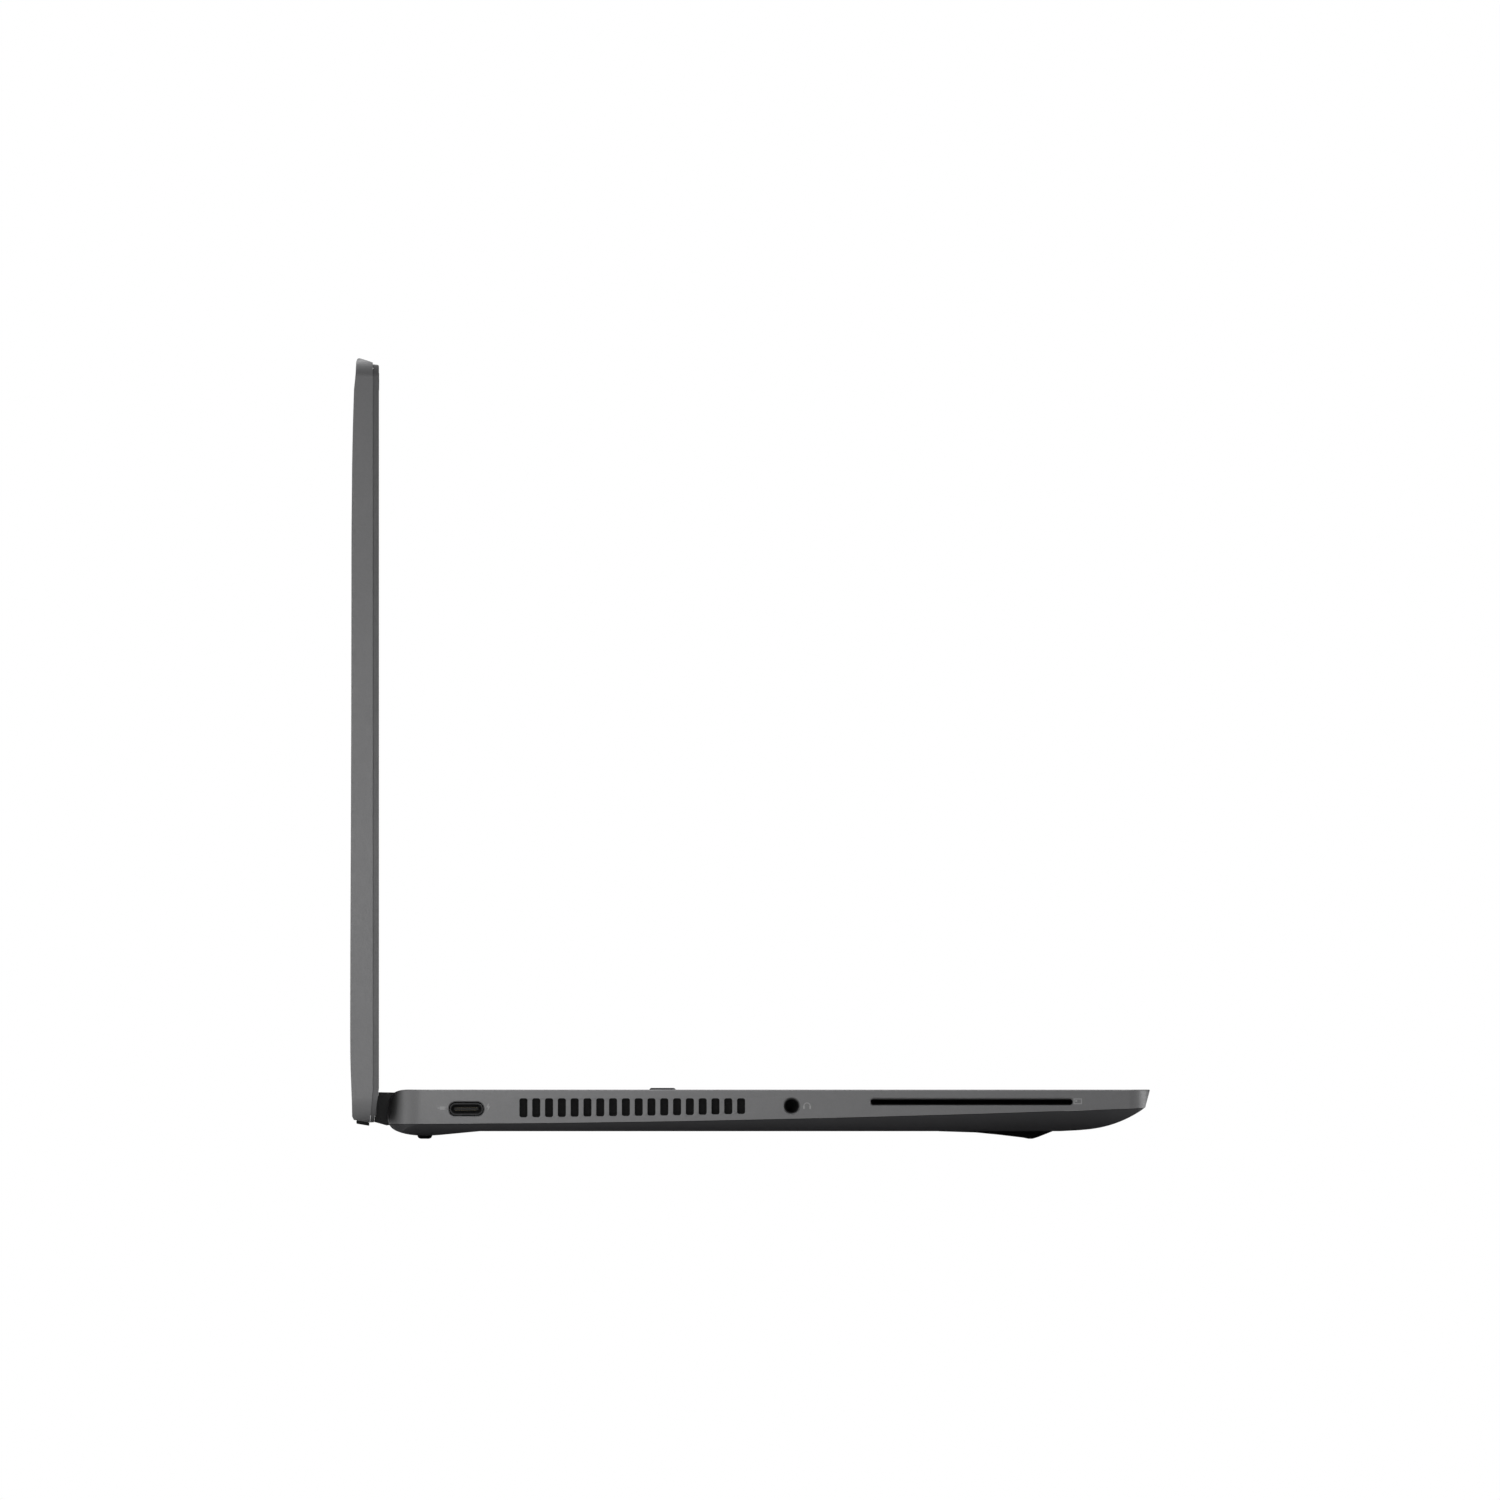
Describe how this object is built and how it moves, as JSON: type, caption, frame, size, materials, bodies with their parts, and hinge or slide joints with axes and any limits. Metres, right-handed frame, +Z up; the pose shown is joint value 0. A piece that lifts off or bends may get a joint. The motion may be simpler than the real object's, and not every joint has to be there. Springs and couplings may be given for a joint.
{
  "type": "laptop computer",
  "caption": "Thin clamshell laptop computer with its lid at a right angle, metal shells, recessed keyboard, touchpad, side vents and ports, and rubber feet.",
  "frame": {"origin": "on the surface that the feet stand on, under the middle of the whole machine", "axes": "+X to the user's right along the hinge, -Y towards the user, +Z up"},
  "size_m": [0.307, 0.2161, 0.211],
  "materials": {
    "silver_shell": "fine blasted and anodised, dark silver",
    "lid_shell": "fine blasted and anodised, dark silver",
    "dark_shell": "fine matte paint",
    "dark_plastic": "fine textured",
    "key_plastic": "fine textured",
    "pad_surface": "smooth matte",
    "button_plastic": "smooth matte",
    "soft_rubber": "matte",
    "stick_rubber": "matte, dimpled",
    "display_glass": "anti-glare, switched off",
    "panel_parts": "satin",
    "circuit_board": "solder mask",
    "chip_package": "matte",
    "cooler_metal": "black coating on copper",
    "fin_metal": "black coating on aluminium",
    "fan_plastic": "matte",
    "steel": "plain",
    "port_metal": "satin",
    "port_plastic": "matte",
    "battery_wrap": "satin film"
  },
  "bodies": {
    "base": {"palmrest_top_case": "silver_shell", "bottom_cover": "dark_shell", "keyboard_frame": "dark_plastic", "keyboard_support_plate": "steel", "keyboard_membrane": "port_plastic", "pointing_stick": "stick_rubber", "front_foot": "soft_rubber", "rear_foot": "soft_rubber", "bottom_cover_screws": "steel", "bracket_screws": "steel", "hinge_base_brackets": "steel", "touchpad_bracket": "steel", "button_board": "circuit_board", "usb_c_shell": "port_metal", "usb_c_tongue": "port_plastic", "audio_jack": "port_plastic", "smart_card_reader": "port_plastic", "hdmi_shell": "port_metal", "hdmi_tongue": "port_plastic", "usb_a_shell": "port_metal", "usb_a_tongue": "port_plastic", "system_board": "circuit_board", "io_boards": "circuit_board", "processor": "chip_package", "cold_plate": "cooler_metal", "heat_pipe": "cooler_metal", "heatsink_fins": "fin_metal", "fan_housing": "fan_plastic", "battery_pack": "battery_wrap", "solid_state_drive": "circuit_board", "memory_module": "circuit_board", "wireless_card": "circuit_board", "coin_cell": "steel", "speaker_left": "port_plastic", "speaker_right": "port_plastic"},
    "lid": {"lid_back_cover": "lid_shell", "display_bezel": "dark_plastic", "screen_glass": "display_glass", "backlight_unit": "panel_parts", "camera_module": "circuit_board", "antenna_boards": "circuit_board", "hinge_leaves": "steel", "hinge_caps": "dark_plastic", "lid_rubber_strip": "soft_rubber"},
    "camera_shutter": {"camera_shutter": "button_plastic"},
    "fan_impeller": {"fan_impeller": "fan_plastic"},
    "touchpad": {"touchpad": "pad_surface"},
    "stick_button_left": {"stick_button_left": "button_plastic"},
    "stick_button_right": {"stick_button_right": "button_plastic"},
    "power_button": {"power_button": "key_plastic"},
    "function_keys": {"function_keys": "key_plastic"},
    "number_keys": {"number_keys": "key_plastic"},
    "upper_letter_keys": {"upper_letter_keys": "key_plastic"},
    "home_letter_keys": {"home_letter_keys": "key_plastic"},
    "enter_key": {"enter_key": "key_plastic"},
    "lower_letter_keys": {"lower_letter_keys": "key_plastic"},
    "bottom_row_keys": {"bottom_row_keys": "key_plastic"},
    "space_bar": {"space_bar": "key_plastic"},
    "arrow_keys": {"arrow_keys": "key_plastic"}
  },
  "joints": [
    {"name": "lid_hinge", "type": "hinge", "parent": "base", "child": "lid", "pos_m": [0, 0.0948, 0.0083], "axis": [1, 0, 0], "range_deg": [-45, 90]},
    {"name": "shutter_slide", "type": "slide", "parent": "lid", "child": "camera_shutter", "axis": [1, 0, 0], "range_m": [0, 0.004]},
    {"name": "fan_spin", "type": "hinge", "parent": "base", "child": "fan_impeller", "pos_m": [-0.107, 0.028, 0.006], "axis": [0, 0, 1], "continuous": true},
    {"name": "touchpad_press", "type": "slide", "parent": "base", "child": "touchpad", "axis": [0, 0, -1], "range_m": [0, 0.0003], "stiffness_N_per_m": 1500, "springref_m": -0.001},
    {"name": "stick_button_left_press", "type": "slide", "parent": "base", "child": "stick_button_left", "axis": [0, 0, -1], "range_m": [0, 0.0007], "stiffness_N_per_m": 300, "springref_m": -0.002},
    {"name": "stick_button_right_press", "type": "slide", "parent": "base", "child": "stick_button_right", "axis": [0, 0, -1], "range_m": [0, 0.0007], "stiffness_N_per_m": 300, "springref_m": -0.002},
    {"name": "power_button_press", "type": "slide", "parent": "base", "child": "power_button", "axis": [0, 0, -1], "range_m": [0, 0.0013], "stiffness_N_per_m": 300, "springref_m": -0.002},
    {"name": "function_keys_press", "type": "slide", "parent": "base", "child": "function_keys", "axis": [0, 0, -1], "range_m": [0, 0.0013], "stiffness_N_per_m": 300, "springref_m": -0.002},
    {"name": "number_keys_press", "type": "slide", "parent": "base", "child": "number_keys", "axis": [0, 0, -1], "range_m": [0, 0.0013], "stiffness_N_per_m": 300, "springref_m": -0.002},
    {"name": "upper_letter_keys_press", "type": "slide", "parent": "base", "child": "upper_letter_keys", "axis": [0, 0, -1], "range_m": [0, 0.0013], "stiffness_N_per_m": 300, "springref_m": -0.002},
    {"name": "home_letter_keys_press", "type": "slide", "parent": "base", "child": "home_letter_keys", "axis": [0, 0, -1], "range_m": [0, 0.0013], "stiffness_N_per_m": 300, "springref_m": -0.002},
    {"name": "enter_key_press", "type": "slide", "parent": "base", "child": "enter_key", "axis": [0, 0, -1], "range_m": [0, 0.0013], "stiffness_N_per_m": 300, "springref_m": -0.002},
    {"name": "lower_letter_keys_press", "type": "slide", "parent": "base", "child": "lower_letter_keys", "axis": [0, 0, -1], "range_m": [0, 0.0013], "stiffness_N_per_m": 300, "springref_m": -0.002},
    {"name": "bottom_row_keys_press", "type": "slide", "parent": "base", "child": "bottom_row_keys", "axis": [0, 0, -1], "range_m": [0, 0.0013], "stiffness_N_per_m": 300, "springref_m": -0.002},
    {"name": "space_bar_press", "type": "slide", "parent": "base", "child": "space_bar", "axis": [0, 0, -1], "range_m": [0, 0.0013], "stiffness_N_per_m": 300, "springref_m": -0.002},
    {"name": "arrow_keys_press", "type": "slide", "parent": "base", "child": "arrow_keys", "axis": [0, 0, -1], "range_m": [0, 0.0013], "stiffness_N_per_m": 300, "springref_m": -0.002}
  ]
}
